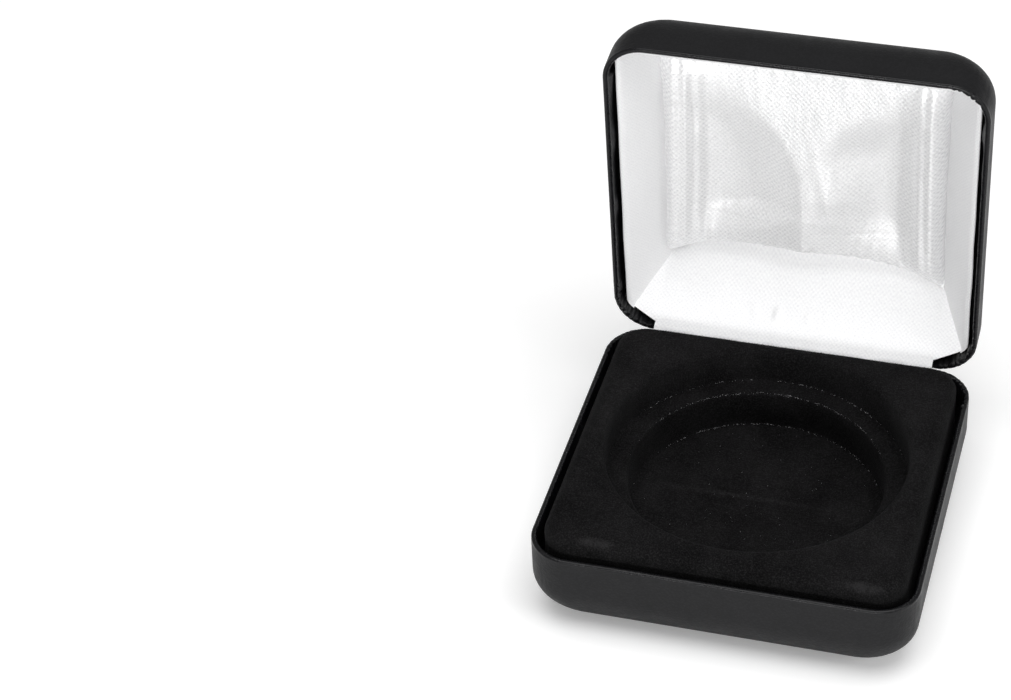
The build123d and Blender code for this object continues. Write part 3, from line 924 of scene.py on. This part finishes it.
def pad_height(x, y, side_x, side_y):
    """Depth of the pad's surface at plan points, `side_x` and `side_y` in from its
    sides. The facets between the ridges are taut, and the ones outside them hollow."""
    out = np.zeros_like(x)
    near = np.full_like(x, 99.0)
    for ridge, side in zip(RIDGES, (-1, 1)):
        ys, xs, slope = ridge_line(ridge)
        away = (x - np.interp(y, ys, xs)) * side / np.sqrt(1 + np.interp(y, ys, slope) ** 2)
        out = np.maximum(out, away)
        near = np.minimum(near, np.abs(away))
    away = np.sqrt(out ** 2 + RIDGE_ROUND)
    ramp = np.logaddexp(0, (FACET_REACH - away) / FACET_FOOT)
    ramp = ramp / np.logaddexp(0, (FACET_REACH - sqrt(RIDGE_ROUND)) / FACET_FOOT)
    lift = crest_height(x, y) * ramp
    sag = np.where(out > 0, 0.0, 0.22 * (1 - np.exp(-(near / 5.0) ** 2)))
    _, height, middle, width = (np.where(x < 0, left, right) for left, right in zip(*PAD_SIDES))
    roll = height * np.exp(-((side_x - middle) / width) ** 2) * np.exp(-(np.abs(y) / 33) ** 4)
    streaks = 1 + 0.07 * np.cos(side_x * 2.1 + y * 0.05)
    roll = roll * streaks * np.clip(side_y / 5, 0, 1)
    return PAD_VALLEY - np.maximum(lift - sag, 0) - roll


def pad_pucker(x, y, edge):
    """Small puckers across the pad's edges, deeper at the hinge."""
    if abs(x) > abs(y):
        return 0.22 * wobble(x * 0.35, y * 2.2 + 4, 1.5, 2.2) * exp(-(edge / 4.0) ** 2)
    depth = 0.5 if y > 0 else 0.26
    return depth * wobble(x * 1.6, y * 0.35, 7.5, 2.4) * exp(-(edge / 3.4) ** 2)


def pad_slack(x, y):
    """Slow waves over the whole pad."""
    return 0.16 * wobble(x, y, 3, 8.0) + 0.05 * wobble(x * 1.4, y * 0.5, 5, 2.0)


def pad():
    """The puffed pad: rolled edges with drawn-in sides, and tented ridges."""
    half_x = HALF_X - lining_at(PAD_SHOULDER) - PAD_GAP
    half_y = HALF_Y - lining_at(PAD_SHOULDER) - PAD_GAP
    n = 230
    even = np.linspace(-1, 1, n)
    steps = 0.35 * even + 0.65 * np.sin(even * pi / 2)
    u, v = np.meshgrid(steps, steps)
    reach_x = half_x + np.where(u < 0, PAD_SIDES[0][0], PAD_SIDES[1][0])
    reach_x = reach_x - PAD_DRAWN_IN * pad_drawn(v)
    reach_y = half_y - np.where(v > 0, PAD_HINGE_DRAWN_IN, PAD_DRAWN_IN) * pad_drawn(u)
    x, y = u * reach_x, v * reach_y
    side_x, side_y = reach_x * (1 - np.abs(u)), reach_y * (1 - np.abs(v))
    # The way in from the nearer side, rounded at the corners
    edge = np.clip(-np.log(np.exp(-side_x / 1.2) + np.exp(-side_y / 1.2)) * 1.2, 0, None)
    depth = pad_height(x, y, side_x, side_y)
    inner = np.clip(1 - edge / PAD_ROLL, 0, 1)
    # The edge goes down to its foot along each side's middle, and less at the corners
    drop = np.where(np.abs(u) > np.abs(v), 1 - v ** 2, 1 - u ** 2)
    foot = np.where((np.abs(v) > np.abs(u)) & (v > 0), FOOT_DEPTH, BOARD_DEPTH - 0.1)
    bottom = PAD_SHOULDER + (foot - PAD_SHOULDER) * np.clip(drop * 1.6, 0, 1)
    depth = depth + (bottom - depth) * (1 - np.sqrt(np.clip(1 - inner ** 2, 0, 1)))
    rows, uv = [], []
    for line in np.stack([x, y, depth, edge], -1):
        row, cloth = [], []
        for px, py, pd, e in line:
            pucker = pad_pucker(px, py, e) + pad_slack(px, py) * smooth(e, 0, 5)
            row.append(on_lid(px, py, min(pd + pucker, BOARD_DEPTH)))
            cloth.append((px * MM, py * MM))
        rows.append(row)
        uv.append(cloth)
    piece = skin("pad_satin_cover", rows, uv=uv)
    dress(piece, "lid", "white_satin", PAD_SATIN, "pad_satin", "pad_wadding")


# ------------------------------------------------------------ camera, light
# The camera was found from the outlines and rims in the photograph, 1011 x 700 pixels
IMAGE_SIZE = (1011, 700)
FOCAL_PIXELS = 2893.3
SENSOR_MM = 36.0
VIEW_AZIMUTH = 17.773
VIEW_ELEVATION = 38.524
VIEW_ROLL = -3.040
VIEW_DISTANCE = 612.43
RIM_CENTRE_PIXEL = (755.31, 461.78)
# Each lamp: place and size in metres, and power in watts. All are turned to one point
LAMP_AIM = (0, 0.01, 0.03)
LAMPS = {
    "overhead": ((0.05, -0.15, 1.25), (1.2, 1.0), 11.2),
    "right_side": ((0.85, -0.20, 0.45), (0.4, 0.4), 2.0),
    "front": ((0.08, -0.98, 0.15), (0.55, 0.2), 5.0),
}
# The sky's strength as light (the camera sees 1), and the floor's glow to the camera
SKY_LIGHT = 0.33
FLOOR_GLOW = 0.16


def camera():
    """A camera whose picture puts the base rim's centre at its pixel."""
    azimuth, elevation, roll = map(radians, (VIEW_AZIMUTH, VIEW_ELEVATION, VIEW_ROLL))
    back = Vector((sin(azimuth) * cos(elevation), -cos(azimuth) * cos(elevation), sin(elevation)))
    level = Vector((cos(azimuth), sin(azimuth), 0))
    upright = back.cross(level)
    right = level * cos(roll) + upright * sin(roll)
    up = upright * cos(roll) - level * sin(roll)
    aside = (RIM_CENTRE_PIXEL[0] - IMAGE_SIZE[0] / 2) * VIEW_DISTANCE / FOCAL_PIXELS
    below = (RIM_CENTRE_PIXEL[1] - IMAGE_SIZE[1] / 2) * VIEW_DISTANCE / FOCAL_PIXELS
    target = Vector((0, 0, RIM_Z))
    made = placed("camera", bpy.data.cameras.new("camera"))
    turn = Matrix((right, up, back)).transposed().to_4x4()
    spot = (target + back * VIEW_DISTANCE - right * aside + up * below) * MM
    made.matrix_world = Matrix.Translation(spot) @ turn
    made.data.sensor_width = SENSOR_MM
    made.data.lens = FOCAL_PIXELS / IMAGE_SIZE[0] * SENSOR_MM
    made.data.clip_start = 0.01
    bpy.context.scene.camera = made
    bpy.context.scene.view_settings.view_transform = "Standard"


def lamp(name, spot, size, power):
    """A soft lamp, turned to the case."""
    light = bpy.data.lights.new(name, "AREA")
    light.shape = "RECTANGLE"
    light.size, light.size_y = size
    light.energy = power
    made = placed(name, light)
    made.location = spot
    made.rotation_euler = (Vector(spot) - Vector(LAMP_AIM)).to_track_quat("Z", "Y").to_euler()


def studio():
    """A white floor and surround, a broad lamp above, and smaller ones to the right and
    in front. The floor and sky are paler to the camera than as light."""
    bpy.ops.mesh.primitive_plane_add(size=5)
    ground = bpy.context.object
    ground.name = "floor"
    paper = Finish("studio_paper", Roughness=0.9, Specular_IOR_Level=0.1)
    direct = paper.node("ShaderNodeLightPath")
    seen = paper.math("MAXIMUM", direct.outputs["Is Camera Ray"], direct.outputs["Is Glossy Ray"])
    seen = paper.math("MAXIMUM", seen, direct.outputs["Is Transmission Ray"])
    paper.link(paper.tint(seen, (0.84, 0.84, 0.84), (0.98, 0.98, 0.98)), "Base Color")
    paper.shader.inputs["Emission Color"].default_value = (1, 1, 1, 1)
    glow = paper.math("MULTIPLY", direct.outputs["Is Camera Ray"], FLOOR_GLOW)
    paper.link(glow, "Emission Strength")
    ground.data.materials.append(paper.material)
    world = bpy.data.worlds.new("studio")
    bpy.context.scene.world = world
    world.use_nodes = True
    tree = world.node_tree
    sky = tree.nodes["Background"]
    sky.inputs["Color"].default_value = (1, 1, 1, 1)
    path = tree.nodes.new("ShaderNodeLightPath")
    seen = tree.nodes.new("ShaderNodeMapRange")
    seen.inputs["To Min"].default_value = SKY_LIGHT
    seen.inputs["To Max"].default_value = 1.0
    tree.links.new(path.outputs["Is Camera Ray"], seen.inputs["Value"])
    tree.links.new(seen.outputs["Result"], sky.inputs["Strength"])
    for name, (spot, size, power) in LAMPS.items():
        lamp(name, spot, size, power)


# -------------------------------------------------------------------- build
covers()
tray()
fibres()
side_wall("lining_left", -1, SIDE_CARD_START, "lining_satin_left")
side_wall("lining_right", 1, SIDE_CARD_START, "lining_satin_right")
front_wall()
hinge_wall()
strip()
spring()
pad()
repaint(PRESSED_STEEL, "base_shell", "lid_shell")
repaint(HINGE_STEEL, "base_hinge_leaf", "lid_hinge_leaf", "hinge_pin", "base_rivets", "lid_rivets")
repaint(TRAY_PLASTIC, "tray_form")
repaint(PACKING_CARD, "tray_packing")
repaint(CARD, "pad_board", "lining_card_left", "lining_card_right")
repaint(CARD, "lining_card_front", "lining_card_hinge")
camera()
studio()
